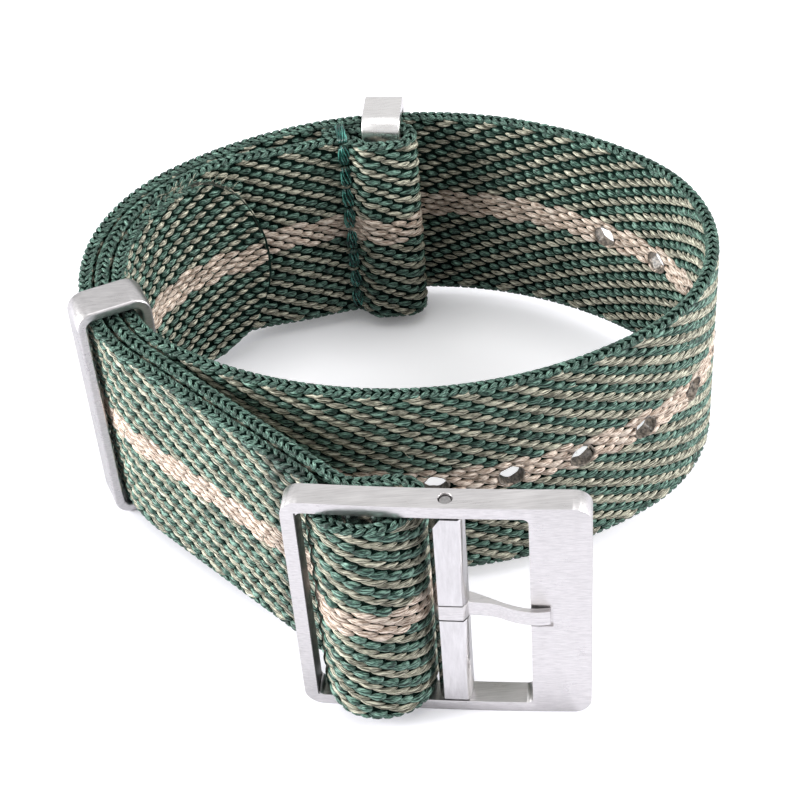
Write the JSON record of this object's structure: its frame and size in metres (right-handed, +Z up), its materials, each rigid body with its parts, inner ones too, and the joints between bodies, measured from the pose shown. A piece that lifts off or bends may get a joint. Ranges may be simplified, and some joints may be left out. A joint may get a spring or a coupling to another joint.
{
  "type": "watch strap",
  "caption": "Woven nylon watch strap rolled up on its edge, with a steel buckle, spring bar, tongue, keeper and a ring in a stitched fold.",
  "frame": {"origin": "on the surface that the strap stands on, under the middle of its outline seen from above", "axes": "+Z up across the webbing's width, -Y towards the buckle's face, +X towards the single-layer side of the loop"},
  "size_m": [0.0538, 0.0546, 0.0225],
  "materials": {
    "webbing": "woven nylon, green and khaki stripes with a tan centre stripe",
    "thread": "glossy sewing thread",
    "brushed_steel": "brushed stainless steel",
    "bright_steel": "polished stainless steel"
  },
  "bodies": {
    "strap": {"strap_webbing": "webbing", "fold_stitches": "thread"},
    "keeper": {"keeper": "brushed_steel"},
    "slider": {"slider_ring": "bright_steel"},
    "buckle": {"buckle_frame": "brushed_steel", "loop_bar": "brushed_steel", "spring_bar_barrel": "bright_steel", "spring_bar_spring": "bright_steel"},
    "tongue": {"tongue": "bright_steel"},
    "sleeve_upper": {"sleeve_upper": "brushed_steel"},
    "sleeve_lower": {"sleeve_lower": "brushed_steel"},
    "tip_upper": {"spring_bar_tip_upper": "bright_steel"},
    "tip_lower": {"spring_bar_tip_lower": "bright_steel"}
  },
  "joints": [
    {"name": "keeper_slide", "type": "hinge", "parent": "strap", "child": "keeper", "pos_m": [-0.00914, 0.00603, 0.01125], "axis": [0, 0, -1], "range_deg": [-12, 38]},
    {"name": "slider_tilt", "type": "hinge", "parent": "strap", "child": "slider", "pos_m": [-0.00019, 0.02232, 0.01125], "axis": [0, 0, 1], "range_deg": [-2, 2]},
    {"name": "buckle_swing", "type": "hinge", "parent": "strap", "child": "buckle", "pos_m": [-0.0039, -0.02406, 0.01125], "axis": [0, 0, 1], "range_deg": [-4, 4]},
    {"name": "tongue_pivot", "type": "hinge", "parent": "buckle", "child": "tongue", "pos_m": [0.00211, -0.02497, 0.01125], "axis": [0, 0, -1], "range_deg": [0, 100]},
    {"name": "sleeve_upper_turn", "type": "hinge", "parent": "buckle", "child": "sleeve_upper", "pos_m": [0.00211, -0.02497, 0.01125], "axis": [0, 0, 1], "range_deg": [-10, 10]},
    {"name": "sleeve_lower_turn", "type": "hinge", "parent": "buckle", "child": "sleeve_lower", "pos_m": [0.00211, -0.02497, 0.01125], "axis": [0, 0, 1], "range_deg": [-10, 10]},
    {"name": "tip_upper_press", "type": "slide", "parent": "buckle", "child": "tip_upper", "axis": [0, 0, -1], "range_m": [0, 0.001], "stiffness_N_per_m": 200, "springref_m": -0.001, "deforming": ["spring_bar_spring"]},
    {"name": "tip_lower_press", "type": "slide", "parent": "buckle", "child": "tip_lower", "axis": [0, 0, 1], "range_m": [0, 0.001], "stiffness_N_per_m": 200, "springref_m": -0.001, "deforming": ["spring_bar_spring"]}
  ]
}
